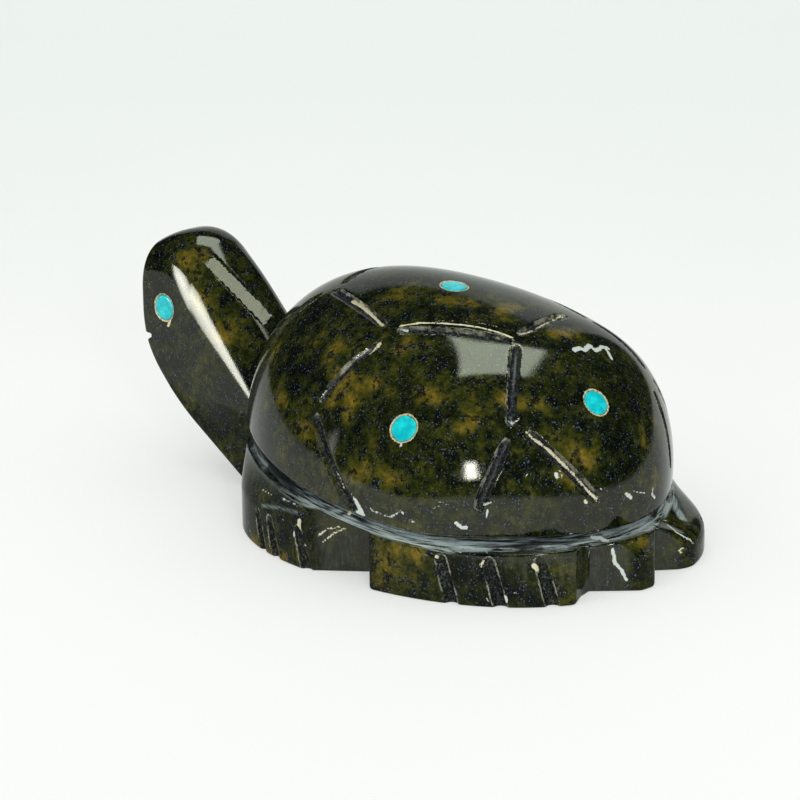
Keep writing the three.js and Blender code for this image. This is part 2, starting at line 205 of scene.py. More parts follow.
# Pale and yellow marks where the real stone has them: on each row a radius, then the x, y and z of
# the points of a path on its surface
WHITE_MARKS = """
0.1 8.1 -5.2 19.6 7.9 -4.7 19.7
0.13 16.7 -2.3 7.6 16.7 -2 7.1 16.7 -1.6 6.5
0.08 16.7 -2.7 8 16.7 -2.2 7.4
0.07 8.6 6.9 14.4 8.4 7.3 14 7.8 7.4 14.3
0.07 5.2 -14.7 20.7 5.5 -13.7 20.7
0.045 7.1 5.5 16.6 7.8 6.2 15.6 8.3 6.8 14.7
0.24 -0.8 5.8 17.9 -1.7 5.7 17.9 -1.9 6 17.7 -3.1 5.6 17.8
0.22 -3.1 5.6 17.8 -3.2 6.1 17.4 -4.6 5.6 17.4 -5.3 5.7 17.1
0.2 -4.9 5.8 17.2 -4.8 6.2 16.9 -4.5 6.7 16.6
0.176 16.7 -2.3 7.6 16.7 -1.9 7.2 16.7 -1.4 6.6
0.16 16.7 -2.1 6.6 16.7 -1.3 6.5
0.103 16.6 -0.1 7 16.5 0.7 6.9 16.3 1.4 6.9 16.2 2 7.3
0.08 16.6 -0.7 7.2 16.6 -0.3 7
0.103 16.1 2.1 7.5 16 2.4 7.3
0.158 13.7 5.9 6.7 13.4 6.2 6.3 13.1 6.5 6.3
0.071 14.8 4.5 7.9 14.5 4.9 8.1
0.055 14.5 4.8 8.4 14 5.4 8.2
0.175 6.8 10.4 10.1 6.8 10.5 9.8
0.08 3.5 12.2 8.5 3.3 12.3 8.3
0.072 2.9 12.3 8.5 3.1 12.3 8.2
0.185 0.9 12.8 7.5 0.4 12.9 7.1
0.081 0.2 12.8 7.6 -0.8 12.9 7.2 -1.5 12.8 7
0.131 -2.9 12.6 7 -2.6 12.6 6.6 -3.2 12.5 6.1
0.103 12 7.4 8.1 11.5 7.7 8.3
0.103 11.8 7.6 7.7 11.9 7.5 7
0.209 3.7 11.6 4.3 3.1 11.9 4.1 2.6 12.3 3.8
0.153 2.6 12.3 3.8 3.5 13.6 3.6 3.4 13.7 2.7
0.145 3.4 13.7 2.5 3 14.1 1.9 2.7 14.4 1
0.064 4.8 12.3 3.8 5.1 12.4 2.9
0.131 -4.7 12.7 3.4 -4.4 13.8 3.1 -4.9 14.3 2.7
0.123 -4.9 14.3 2.7 -5.5 14.4 2.3 -5.7 14.5 2
0.158 12.1 9.7 1 12 9.8 0.6
0.079 13 8.5 0.8 12.8 8.7 0.5
0.099 15.6 -12 5.4 15.9 -10.6 5.4 16.1 -9.4 5.4
0.075 14.6 -15.3 5.2 15.2 -13.4 5.2
0.132 16.2 -9.9 3 16.2 -9.9 2.7
0.148 16.3 -9.1 2.4 16.3 -8.5 2.2
0.083 16 -11.5 3.7 16 -11.2 3.7
0.065 16.3 -1.8 5.3 13.2 -4.3 2.8 16.1 -1.1 2.6
0.123 -3.2 5.5 17.8 -3.3 5.6 17.7
0.064 1.5 12.6 8.2 1.3 12.7 8.1
0.079 8.7 9.1 10.3 8.9 9.1 10.1
0.056 6.5 11.2 5.2 6 11.4 5.1
0.087 15.8 2.9 6.8 15.7 3.2 6.7
0.095 13.9 6.4 4.5 13.9 6.7 4.4
0.095 12 7.6 4.3 12.6 8.2 4.4
0.127 14.6 1.2 12.8 14.9 1.1 12.4
0.079 14.8 0.5 12.9 14.8 0.9 12.7
0.055 12.5 9.2 1.5 12.7 9 1
0.055 13.3 8.1 1.8 12.9 8.6 1.7
0.055 11.8 10.2 1.4 11.4 10.6 1.2
0.07 6.4 10.5 10.3 6.4 10.7 9.7
0.05 4.9 3.5 18.5 6.1 4.6 17.6 7 5.5 16.6
0.05 8.3 7.2 14.2 8.7 7.3 13.7
0.09 -3.2 12.5 3.8 -4.1 12.4 3.7
"""
CREAM_MARKS = """
0.17 6 -13.1 20.6 6.6 -11.2 20.5 7.4 -9.2 20.2 8.2 -7.1 19.7
0.11 10 -5.9 18.7 11.6 -6.5 17.6 12.9 -7.2 16.3 14.1 -8 14.6
0.15 12.8 -7.1 16.4 13.4 -7.6 15.6 14.2 -8.1 14.4
0.09 10.2 -5.8 18.5 9.8 -5.7 18.8
0.07 16.3 -5.4 9.7 16.5 -4.7 9 16.7 -3.9 8.1
0.13 7.9 -5.4 19.7 6.9 -4.2 20 5.9 -2.7 20 5 -1.2 20 4.3 -0.1 19.8 3.6 1.4 19.5 3.2 2.6 19.2
0.07 6 -3.3 20.1 4.7 -1.7 20.1 3.5 -0.1 19.9 2.9 1 19.7
0.06 8.7 -4.8 19.3 7.6 -2.5 19.4 6.3 -0.8 19.5 5 0.7 19.5
0.09 2.3 2.4 19.4 -0.1 2.2 19.5 -3 1.6 19.6 -4.6 1.2 19.4 -4.7 1.7 19.2
0.07 4.6 3.5 18.6 4.1 3.3 18.8 3.5 3.3 18.9 3.4 3.7 18.7 3.6 4.1 18.5
0.04 11.3 7.5 10.1 10.9 7.5 10.7 10.5 7.6 11.3
0.12 7.8 8.1 13.3 7.1 9 12.6 6.6 9.7 11.9 6.1 10.3 11.1 5.3 11.1 9.9 4.5 11.8 8.6 3.9 12.2 7.7
0.09 4.1 12.1 7.9 3.9 12.2 7.5
0.04 5.8 -18.8 19 5 -18.5 19.6 4.7 -17.8 20
0.226 16.3 -3.9 6.4 15.9 -3.7 5.9
0.247 16.3 -9.2 4.2 16.3 -9.2 3.4
0.184 15.6 -13.3 3.1 15.6 -13.5 2.4
0.118 15 -15.4 3.2 14.9 -15.5 2.6
0.1 15.7 -7.6 3.1 15.2 -7 3.7 14.6 -6.2 3.9
0.09 15.4 -7.3 2.6 14.9 -6.6 3.3 14.3 -5.8 3.8
0.159 14.8 4.8 3.9 14.6 5.3 3.4
0.111 13.1 8.3 3.9 13.2 8.1 3.5
0.079 10.7 11.3 4.1 10.3 11.8 4.2
0.205 10.6 11.4 3.6 10.2 11.8 3
0.079 12.7 8.9 2.9 12.5 9.2 1.5 12.2 9.6 0.5
0.071 9.8 12.1 2.7 9.5 12.4 1.3 9.3 12.6 0.3
0.064 14.5 5.5 2.7 14.4 5.7 1.2
0.129 3.8 12.3 5 2.3 11.7 4.4
0.072 2 12.1 4.1 1.6 13 3.9 2.1 14.5 4.1
0.098 -4.3 14.3 1.8 -4.6 14.5 1.9
0.082 -4.2 14.3 1.7 -4.4 14.4 1.5
0.082 -4.6 12 3.7 -5.3 12.2 3.5
0.17 4.5 -37.5 14 4.5 -37.8 13.5
0.144 4.9 11.8 7.7 4.8 11.9 7.5
0.059 15.5 -13.7 1.7 15.6 -13.5 0.7
0.051 13.8 -17.9 1.7 14.2 -17.2 0.6
0.064 15.9 -0.5 5.5 15.9 0 5.4
"""
POWDER_MARKS = """
0.42 16.1 -3.9 5.7 16.3 -2.2 5.3 16.1 -0.4 5.2 15.7 1.6 5.1 14.5 3.9 4.9 12.8 6.1 4.6
0.55 2.3 11.7 4.4 0.4 12 4.4 -1.8 12.1 4.2 -3.6 11.9 4
0.5 -9.6 9.3 4 -8.2 10.8 3.6 -7.4 12.1 3.2
0.16 15.1 -14.8 4 15.8 -11.9 4.6 16.2 -9.5 4.8
0.35 4.6 -27.5 5.6 10.9 -20 6.8 13.1 -16.4 6.6
0.3 15.4 -7.2 4.6 16.1 -5.4 5.7 15.9 -4.6 6
"""
YELLOW_MARKS = """
0.75 14.6 -16.4 0 16.1 -11.2 0.4
0.55 16.3 -9.4 1.4 16 -8 1
0.6 3.3 -5.2 21.1 1.9 -3.2 20.9
0.45 4.1 -9.6 21.4 2.4 -8.9 21.7
0.5 0.9 -0.7 20.3 -1.2 -1 20.4
0.487 14.2 -7.1 14.6 13.5 -6.9 15.6 13 -6.6 16.2
0.405 13.8 -6.3 15.2 14.1 -5 14.8
0.452 11.2 -9.9 17.6 10.6 -9.2 18.2
0.484 13.2 -5 15.9 12.8 -3.7 16.2
0.409 12 -9.6 16.9 12.8 -8.4 16.3
0.561 16.4 -3.1 9.4 16.2 -1.6 10
0.491 15.1 -9.8 11.9 15.4 -9.1 11.6
0.417 12.8 -15.4 13 13.4 -13.9 13
0.339 9.9 -18.9 14.8 9.5 -18.5 15.7
0.328 10.8 -9.5 18 11.1 -7.9 17.9
0.324 10 -3.5 18.4 9.4 -3.5 18.8
0.199 6.5 10.6 9.9 5.4 11.3 9
0.559 4.9 10.8 11.3 3.8 11.4 10.6
0.479 15.8 1.2 3.1 15.2 3.4 3.8
0.399 5.8 7.8 15.1 5.5 8.4 14.5
0.41 -0.6 3.9 18.9 -2.6 3.9 18.8
0.333 5.6 -9.9 20.9 4.7 -8.5 21.1
0.398 7.9 5.9 15.8 7.1 6.8 15.4
0.32 16.1 -0.4 3.4 15.7 1.7 4
0.161 14.4 -5.4 14.4 15 -4.7 13.4
0.477 16.1 -0.1 10 15.7 1.8 9.9
0.328 4 -1.3 20.2 1.7 -0 20.1
0.398 12.2 0.7 15.9 11.7 2.4 15.7
0.317 11.9 4.8 13.8 10.7 5.3 14.4
0.537 4.1 -33.8 16.5 4 -32.7 15.8
0.535 4.2 -31.8 14.1 4.1 -30.7 13.4
0.54 3.7 -36.7 19.7 2.4 -35.4 20.1
0.321 1.6 14.8 4.2 1.1 15.3 3.4
0.327 -3.4 12.3 8 -3.3 12.4 7.2
0.285 -3.1 11.2 11.7 -2.8 11.7 10.6
0.249 16.6 -12.2 -0.7 16.6 -10.6 -0.5
0.169 14.5 -17.1 -0.2 14.8 -16.5 -0.2
0.5 11.4 -10 17.4 10.8 -9.7 17.9
0.4 16.3 -2.9 9.9 16.4 -2.2 9.5
0.35 12.3 -14.8 14.3 12.9 -14.6 13.4 13.7 -13.3 12.7
0.6 16 0 1 15.9 0.7 3
"""

# The stone's mesh, from a grid of cells that is fine only within some coarse blocks of the surface
CELL = 0.172
BLOCK = 4
BLOCK_REACH = 1.6
MESH_MARGIN = 1.5
MIDDLE_PULL = 0.08
MOST_MOVE = 0.75
LEAST_SQUARE = 0.25
MOST_SHIFT = 0.05
FINE_REACH = 0.3
MOST_TRIANGLES = 190000

# Camera, from the photograph's view
CAMERA = np.array([175.62, 154.28, 79.94])
CAMERA_AIM = np.array([1.88, -11.31, 11.0])
CAMERA_ROLL = -0.0111
CAMERA_LENS = 131.5
BACK_ANGLE = math.radians(-138.7)


def smooth_max(a, b, width):
    share = np.clip(0.5 + 0.5 * (a - b) / width, 0, 1)
    return b + (a - b) * share + width * share * (1 - share)


def smooth_min(a, b, width):
    return -smooth_max(-a, -b, width)


def eased(share):
    return share * share * (3 - 2 * share)


def smooth_step(value, start, end):
    return eased(np.clip((value - start) / (end - start), 0, 1))


def gradient(level, p, step=0.02):
    slopes = [level(p + step * axis) - level(p - step * axis) for axis in np.eye(3)]
    return np.stack(slopes, -1) / (2 * step)


def in_parts(function, p, size=400000):
    return np.concatenate([function(p[i:i + size]) for i in range(0, len(p), size)])


def slopes_of(level, p):
    return in_parts(lambda q: gradient(level, q), p, 200000)


def unit(vectors):
    return vectors / np.maximum(np.linalg.norm(vectors, axis=-1, keepdims=True), 1e-9)


# Smooth random values in space, from a seeded table
NOISE_SIZE = 64
NOISE_TABLE = np.random.default_rng(7).uniform(-1, 1, (NOISE_SIZE,) * 3)


def noise(p, scale, offset=0.0):
    """Values from about -1 to 1 that change over about the given length."""
    q = p / scale + offset
    base = np.floor(q).astype(int)
    share = eased(q - base)
    total = 0
    for corner in np.ndindex(2, 2, 2):
        i, j, k = ((base + corner) % NOISE_SIZE).T
        weight = np.prod(np.where(corner, share, 1 - share), axis=-1)
        total = total + weight * NOISE_TABLE[i, j, k]
    return total


def rim_frame(p):
    """A point's place across and along the tilted rim, and its height above it."""
    rise = p[:, 2] - RIM_HEIGHT
    along = p[:, 1] * math.cos(RIM_TILT) - rise * math.sin(RIM_TILT)
    height = (p[:, 1] * math.sin(RIM_TILT) + rise * math.cos(RIM_TILT)) / (1 - TOP_FALL_PER_MM * along)
    return p[:, 0] / (1 - NARROWING_PER_MM * along), along, height


def shell_plan(x, y):
    """1 on the rim, as seen from above, and less inside it."""
    mean = (SHELL_FRONT + SHELL_REAR) / 2
    half_length = mean + (SHELL_REAR - mean) * np.tanh(y / SHELL_BLEND_LENGTH)
    x2 = (x / SHELL_HALF_WIDTH) ** 2
    y2 = (y / half_length) ** 2
    r2 = x2 + y2 + 1e-9
    return np.sqrt(r2) * (1 + SHELL_CORNER_FLATTENING * x2 * y2 / (r2 * r2))


def shell_ratio(p):
    x, y, z = rim_frame(p)
    height = np.where(z > 0, SHELL_HEIGHT, SHELL_UNDER)
    power = SHELL_ROUNDNESS
    return (shell_plan(x, y) ** power + (np.abs(z) / height) ** power) ** (1 / power)


def shell_level(p, step=1e-3):
    """Distance from the shell's dome, negative inside."""
    ratio = shell_ratio(p)
    slopes = [(shell_ratio(p + step * axis) - ratio) / step for axis in np.eye(3)]
    return (ratio - 1) / np.sqrt(sum(slope * slope for slope in slopes) + 1e-8)


def wall_radius(angle):
    across = np.abs(np.cos(angle)) / (SHELL_HALF_WIDTH + WALL_OUTSET)
    along = np.abs(np.sin(angle)) / np.where(np.sin(angle) < 0, BASE_FRONT, BASE_REAR)
    return (across**BASE_SQUARENESS + along**BASE_SQUARENESS) ** (-1 / BASE_SQUARENESS)


def wall_point(degrees, depth, z=0.0):
    angle = math.radians(degrees)
    radius = float(wall_radius(angle)) - depth
    x, y = BASE_CENTRE
    return np.array([x + radius * math.cos(angle), y + radius * math.sin(angle), z])


def wall_level(p, turn=0.01):
    """Distance outside the base's oval wall, and the angle about its centre in degrees."""
    x = p[:, 0] - BASE_CENTRE[0]
    y = p[:, 1] - BASE_CENTRE[1]
    radius = np.hypot(x, y)
    angle = np.arctan2(y, x)
    wall = wall_radius(angle)
    lean = (wall_radius(angle + turn) - wall_radius(angle - turn)) / (2 * turn) / wall
    return (radius - wall) / np.sqrt(1 + lean * lean), np.degrees(angle)


def along_edge(degrees, column):
    """A value of FOOT_EDGE at each angle, eased between its listed angles."""
    listed, values = np.array(FOOT_EDGE, float).T[[0, column]]
    after = np.clip(np.searchsorted(listed, degrees), 1, len(listed) - 1)
    share = eased((degrees - listed[after - 1]) / (listed[after] - listed[after - 1]))
    return values[after - 1] + (values[after] - values[after - 1]) * share


def outline_level(p, corners):
    """Distance in plan from a closed outline, negative inside."""
    nearest = np.full(len(p), np.inf)
    inside = np.zeros(len(p), bool)
    for a, b in zip(corners, np.roll(corners, -1, 0)):
        edge = b - a
        x = p[:, 0] - a[0]
        y = p[:, 1] - a[1]
        share = np.clip((x * edge[0] + y * edge[1]) / (edge @ edge), 0, 1)
        nearest = np.minimum(nearest, (x - share * edge[0]) ** 2 + (y - share * edge[1]) ** 2)
        spans = (a[1] > p[:, 1]) != (b[1] > p[:, 1])
        crossing = edge[0] * (p[:, 1] - a[1]) / (edge[1] + 1e-12) + a[0]
        inside ^= spans & (p[:, 0] < crossing)
    return np.where(inside, -1, 1) * np.sqrt(nearest)


def mirrored(places):
    """Places on the base's other side."""
    flipped = np.array(places)
    flipped[:, 0] = 2 * BASE_CENTRE[0] - flipped[:, 0]
    return flipped


def notch_corners(points):
    first, last = points[0][0], points[-1][0]
    outer = [(last, -NOTCH_REACH), (first, -NOTCH_REACH)]
    return np.array([wall_point(*point)[:2] for point in points + outer])


NOTCHES = [notch_corners(points) for points in (FOOT_NOTCH, TAIL_NOTCH_LEFT, TAIL_NOTCH_RIGHT)]
NOTCHES.insert(1, mirrored(NOTCHES[0]))


def toe_axis(degrees):
    """The two ends of a toe groove's middle line, foot first."""
    edge = float(along_edge(np.array([degrees]), 1)[0])
    foot = wall_point(degrees + TOE_SLANT, TOE_FOOT_DEPTH - TOE_GROOVE_RADIUS, TOE_FOOT_Z)
    return foot, wall_point(degrees, TOE_TOP_DEPTH - TOE_GROOVE_RADIUS, edge - TOE_TOP_GAP)


TOE_AXES = [toe_axis(degrees) for degrees in FRONT_TOES + REAR_TOES]
TOE_AXES += [tuple(mirrored(ends)) for ends in TOE_AXES]


def rod_level(p, start, end, radius):
    """Distance from a round-ended rod."""
    axis = end - start
    share = np.clip((p - start) @ axis / (axis @ axis), 0, 1)
    return np.linalg.norm(p - start - share[:, None] * axis, axis=1) - radius


def nearest_of(p, forms, reach):
    """The lowest of several levels, each (middle, function), worked out only near its middle."""
    level = np.full(len(p), FAR)
    for middle, function in forms:
        near = np.flatnonzero(np.abs(p - middle).max(1) < reach)
        level[near] = np.minimum(level[near], function(p[near]))
    return level


def toe_rod(ends):
    return lambda p: rod_level(p, *ends, TOE_GROOVE_RADIUS)


TOE_RODS = [((ends[0] + ends[1]) / 2, toe_rod(ends)) for ends in TOE_AXES]


def toes_level(p):
    return nearest_of(p, TOE_RODS, TOE_REACH)


def base_level(p):
    level = p[:, 2] - RIM_HEIGHT
    low = np.flatnonzero(p[:, 2] < RIM_HEIGHT + BASE_REACH)
    level[low] = low_base_level(p[low])
    return level


def low_base_level(p):
    wall, degrees = wall_level(p)
    inside = np.maximum(-wall, 0)
    x, y, _ = rim_frame(p)
    plan = shell_plan(x, y)
    outside_shell = np.maximum(np.hypot(p[:, 0], p[:, 1]) * (1 - 1 / plan), 0)
    lip = RIM_HEIGHT - p[:, 1] * math.tan(RIM_TILT) - RIM_GROOVE_HALF_WIDTH
    share = inside / (inside + outside_shell + 0.05)
    edge = along_edge(degrees, 1)
    ledge = p[:, 2] - (edge + (lip - edge) * share)
    level = smooth_max(wall, ledge, along_edge(degrees, 2))
    soft = smooth_step(degrees, *SOFT_NOTCH_ANGLES)
    soft_edge = NOTCH_EDGE + (SOFT_NOTCH_EDGE - NOTCH_EDGE) * soft
    for corners in NOTCHES:
        near = np.flatnonzero(np.hypot(*(p[:, :2] - corners.mean(0)).T) < NOTCH_SPAN)
        rounding = soft_edge[near] if corners is NOTCHES[-1] else NOTCH_EDGE
        level[near] = smooth_max(level[near], -outline_level(p[near], corners), rounding)
    tail = np.flatnonzero((p[:, 0] < TAIL_FACET_POINT[0] + 0.3) & (p[:, 1] > TAIL_FACET_POINT[1] - 0.5))
    level[tail] = smooth_max(level[tail], (p[tail] - TAIL_FACET_POINT) @ TAIL_FACET_OUT, TAIL_FACET_EDGE)
    return smooth_max(level, -p[:, 2], UNDERSIDE_EDGE)


def facet(plane, p):
    ny, nz, y, z = plane
    return ((p[:, 1] - y) * ny + (p[:, 2] - z) * nz) / math.hypot(ny, nz)


def with_band(p, level):
    """The neck's level with the flat band worked into it."""
    run = BAND_END - BAND_START
    length = np.linalg.norm(run)
    run = run / length
    out = unit(BAND_OUT - (BAND_OUT @ run) * run)
    offset = p - BAND_START
    aside = np.abs(offset @ np.cross(run, out)) - BAND_HALF_WIDTH
    beyond = np.abs(offset @ run - length / 2) - length / 2
    share = smooth_step(np.maximum(aside, beyond), *BAND_EASE)
    return level + (offset @ out - level) * share


def neck_level(p):
    side = np.abs(p[:, 0]) - HEAD_HALF_WIDTH - NECK_WIDENING * (p[:, 1] - HEAD_Y)
    above = smooth_max(facet(NAPE, p), facet(CROWN, p), CROWN_ROUNDING)
    above = smooth_max(above, facet(FOREHEAD, p), CROWN_ROUNDING)
    below = smooth_max(facet(CHIN, p), facet(THROAT, p), THROAT_ROUNDING)
    below = smooth_max(below, facet(CHEST, p), THROAT_ROUNDING)
    below = smooth_max(below, facet(SNOUT, p), THROAT_ROUNDING)
    forward = np.clip((HEAD_START_Y - p[:, 1]) / HEAD_BLEND_LENGTH, 0, 1)
    sides = smooth_max(side, above, NAPE_ROUNDING + (HEAD_ROUNDING - NAPE_ROUNDING) * forward)
    near = np.flatnonzero((np.abs(sides) < BAND_REACH) & (p[:, 2] > BAND_END[2] - 2))
    sides[near] = with_band(p[near], sides[near])
    level = smooth_max(smooth_max(sides, below, THROAT_ROUNDING), UNDERSIDE_EDGE - p[:, 2], UNDERSIDE_EDGE)
    return smooth_max(level, p[:, 1] - NECK_END_Y, NECK_END_ROUNDING)


def mouth_level(p):
    """A slit with a level roof and a floor that rises inwards."""
    depth = facet(SNOUT, p) + MOUTH_DEPTH
    roof = p[:, 2] - MOUTH_HEIGHT - MOUTH_OPENING / 2
    base = MOUTH_HEIGHT - MOUTH_OPENING / 2 - p[:, 2] + (MOUTH_DEPTH - depth) * MOUTH_FLOOR_SLOPE
    return smooth_max(smooth_max(roof, base, MOUTH_CORNER), -depth, MOUTH_EDGE)


def rim_groove_level(p, shell):
    height = rim_frame(p)[2]
    lean = RIM_GROOVE_HALF_WIDTH / RIM_GROOVE_DEPTH
    inner = np.minimum(shell, 0) + RIM_GROOVE_DEPTH
    outer = np.maximum(shell, 0)
    length = math.hypot(1, lean)
    above = (height - inner * lean - outer * RIM_GROOVE_OPENING[0] * lean) / length
    below = (-height - inner * lean + outer * RIM_GROOVE_OPENING[1] * lean) / length
    return np.maximum(above, below)


def direction(azimuth, elevation):
    a, e = math.radians(azimuth), math.radians(elevation)
    return np.array([math.cos(a) * math.cos(e), math.sin(a) * math.cos(e), math.sin(e)])


def cast(level, start, towards):
    """Where a line from inside a form leaves it, and the way out there."""
    near, limit = 0.0, 60.0
    for _ in range(40):
        middle = (near + limit) / 2
        if level((start + towards * middle)[None])[0] < 0:
            near = middle
        else:
            limit = middle
    point = start + towards * near
    return point, unit(gradient(level, point[None]))[0]


class ShellLine:
    """One carved line, in the plane through the shell's centre and the line's two ends."""

    def __init__(self, start, end):
        self.start, _ = cast(shell_level, SHELL_CENTRE, direction(*start))
        self.end, _ = cast(shell_level, SHELL_CENTRE, direction(*end))
        chord = self.end - self.start
        self.length = np.linalg.norm(chord)
        self.along = chord / self.length
        middle = (self.start + self.end) / 2 - SHELL_CENTRE
        self.across = unit(np.cross(self.along, middle))

    def near(self, p):
        middle = (self.start + self.end) / 2
        return np.linalg.norm(p - middle, axis=1) < self.length / 2 + LINE_REACH

    def place(self, p):
        """Distance along the line and across it, its half width there, and its taper, 1 in the middle."""
        offset = p - self.start
        along = offset @ self.along
        inset = np.minimum(along, self.length - along) / LINE_TAPER
        taper = np.sqrt(np.clip(inset, 0, 1)) + np.minimum(inset, 0) * 2
        half_width = LINE_HALF_WIDTH * (0.5 + 0.5 * np.maximum(taper, 0))
        return along, offset @ self.across, half_width, taper

    def level(self, p, shell):
        _, across, half_width, taper = self.place(p)
        depth = LINE_DEPTH * np.maximum(taper, 0.02)
        ratio = np.hypot(across / half_width, np.minimum(shell, 0) / depth)
        return np.maximum((ratio - 1) * LINE_SCALE, -taper * LINE_SCALE)


LINES = [ShellLine(*ends) for ends in SHELL_LINES]


def lines_near(p, shell, reach):
    """Each line with the rows of the surface's points near it."""
    surface = np.flatnonzero(np.abs(shell) < reach)
    for line in LINES:
        yield line, surface[line.near(p[surface])]


def lines_level(p, shell):
    level = np.full(len(p), FAR)
    for line, near in lines_near(p, shell, LINE_REACH):
        level[near] = np.minimum(level[near], line.level(p[near], shell[near]))
    return level


def inlay_places():
    places = {}
    for name, angles in SHELL_INLAYS.items():
        point, out = cast(shell_level, SHELL_CENTRE, direction(*angles))
        places[name] = (point, out, INLAY_RADIUS, shell_level)
    for name, side in (("eye_left", 1.0), ("eye_right", -1.0)):
        point, out = cast(neck_level, EYE_MIDDLE, np.array([side, 0, 0]))
        places[name] = (point, out, EYE_RADIUS, neck_level)
    return places


INLAYS = inlay_places()


def inlay_side(point, out, radius):
    """Distance outside an inlay's round side."""
    return lambda p: np.linalg.norm(p - point - ((p - point) @ out)[:, None] * out, axis=1) - radius


def hole(point, out, radius):
    side = inlay_side(point, out, radius)
    return lambda p: np.maximum(side(p) - INLAY_GAP, -(p - point) @ out - INLAY_POCKET)


INLAY_EDGES = [(point, inlay_side(point, out, radius)) for point, out, radius, _ in INLAYS.values()]
HOLES = [(point, hole(point, out, radius)) for point, out, radius, _ in INLAYS.values()]


def stone_level(p):
    """Distance from the carved stone's surface, negative inside."""
    shell = shell_level(p)
    level = smooth_min(shell, base_level(p), BASE_JOIN)
    level = smooth_max(level, -rim_groove_level(p, shell), GROOVE_EDGE)
    level = smooth_min(level, neck_level(p), NECK_JOIN)
    level = smooth_max(level, -toes_level(p), GROOVE_EDGE)
    level = smooth_max(level, -lines_level(p, shell), LINE_EDGE)
    level = smooth_max(level, -mouth_level(p), MOUTH_EDGE)
    return smooth_max(level, -nearest_of(p, HOLES, HOLE_REACH), HOLE_EDGE)


AXES = np.eye(3, dtype=int)
SQUARE = ((0, 0), (0, 1), (1, 1), (1, 0))


def clear_crossings(values):
    """Fills one corner of each grid square whose inside corners touch only across its diagonal."""
    for _ in range(4):
        for first, second in ((0, 1), (0, 2), (1, 2)):
            inside = values < 0
            views = []
            for i, j in SQUARE:
                cut = [slice(None)] * 3
                cut[first] = slice(i, i - 1 or None)
                cut[second] = slice(j, j - 1 or None)
                views.append(inside[tuple(cut)])
            crossed = np.argwhere((views[0] == views[2]) & (views[1] == views[3]) & (views[0] != views[1]))
            steps = [AXES[first] * i + AXES[second] * j for i, j in SQUARE]
            for corner in crossed:
                outer = [tuple(corner + step) for step in steps if values[tuple(corner + step)] >= 0]
                values[min(outer, key=lambda place: values[place])] = -1e-3


def contour(level, low, high, cell):
    """A mesh of the surface where a level is zero: vertices and outward four-sided faces.

    Coarse blocks far from the surface keep one value. The rest is worked out on the fine grid. Each
    cell that the surface crosses gets one vertex, where the tangent planes of its crossings meet,
    pulled a little to their middle.
    """
    blocks = np.ceil((high - low) / (cell * BLOCK)).astype(int) + 1
    ticks = [low[a] + cell * BLOCK * np.arange(blocks[a]) for a in range(3)]
    coarse = np.stack(np.meshgrid(*ticks, indexing="ij"), -1).reshape(-1, 3)
    values = in_parts(level, coarse + cell * (BLOCK - 1) / 2).reshape(blocks)
    for axis in range(3):
        values = np.repeat(values, BLOCK, axis=axis)
    near = np.argwhere(np.abs(values) < cell * BLOCK * BLOCK_REACH)
    values[tuple(near.T)] = in_parts(level, low + cell * near)
    clear_crossings(values)
    inside = values < 0

    points, cells, rows, rising = [], [], [], []
    done = 0
    for axis in range(3):
        step, u, v = np.roll(AXES, -axis, 0)
        start = np.argwhere(np.diff(inside, axis=axis))
        a = values[tuple(start.T)]
        b = values[tuple((start + step).T)]
        points.append(low + cell * (start + (a / (a - b))[:, None] * step))
        cells.append(np.concatenate([start, start - u, start - u - v, start - v]))
        rows.append(np.tile(done + np.arange(len(start)), 4))
        rising.append(a < 0)
        done += len(start)
    points = np.concatenate(points)
    normals = unit(slopes_of(level, points))
    rows = np.concatenate(rows)
    used, which = np.unique(np.ravel_multi_index(np.concatenate(cells).T, values.shape), return_inverse=True)

    def total(weights):
        return np.bincount(which, weights, minlength=len(used))

    count = total(np.ones(len(which)))
    middle = np.stack([total(points[rows, a]) for a in range(3)], -1) / count[:, None]
    n = normals[rows]
    reach = np.einsum("ij,ij->i", n, points[rows] - middle[which])
    matrix = np.empty((len(used), 3, 3))
    right = np.empty((len(used), 3))
    for a in range(3):
        right[:, a] = total(n[:, a] * reach)
        for b in range(3):
            matrix[:, a, b] = total(n[:, a] * n[:, b])
    matrix += np.eye(3) * (MIDDLE_PULL * count)[:, None, None]
    move = np.linalg.solve(matrix, right[..., None])[..., 0]
    vertices = middle + np.clip(move, -MOST_MOVE * cell, MOST_MOVE * cell)

    faces = []
    ends = np.cumsum([len(part) for part in cells])
    for part, rises in zip(np.split(which, ends[:-1]), rising):
        quad = part.reshape(4, -1).T
        faces.append(np.where(rises[:, None], quad, quad[:, ::-1]))
    return vertices, np.concatenate(faces)


def stone_mesh():
    half_width = SHELL_HALF_WIDTH + WALL_OUTSET + MESH_MARGIN
    low = np.array([-half_width, SNOUT[2] - MESH_MARGIN, -MESH_MARGIN])
    high = np.array([half_width, BASE_CENTRE[1] + BASE_REAR + MESH_MARGIN, CROWN[3] + MESH_MARGIN])
    vertices, faces = contour(stone_level, low, high, CELL)
    for _ in range(2):
        slope = slopes_of(stone_level, vertices)
        value = in_parts(stone_level, vertices)
        square = np.maximum((slope * slope).sum(-1), LEAST_SQUARE)
        vertices = vertices - np.clip(value / square, -MOST_SHIFT, MOST_SHIFT)[:, None] * slope
    return np.clip(vertices, cad_low + BOX_MARGIN, cad_high - BOX_MARGIN), faces.tolist()


def put(name, data):
    """A new object in the scene."""
    thing = bpy.data.objects.new(name, data)
    bpy.context.scene.collection.objects.link(thing)
    return thing


def make_mesh(name, vertices, faces):
    data = bpy.data.meshes.new(name)
    data.from_pydata((np.asarray(vertices) * MM).tolist(), [], faces)
    data.validate()
    data.update()
    for polygon in data.polygons:
        polygon.use_smooth = True
    return put(name, data)


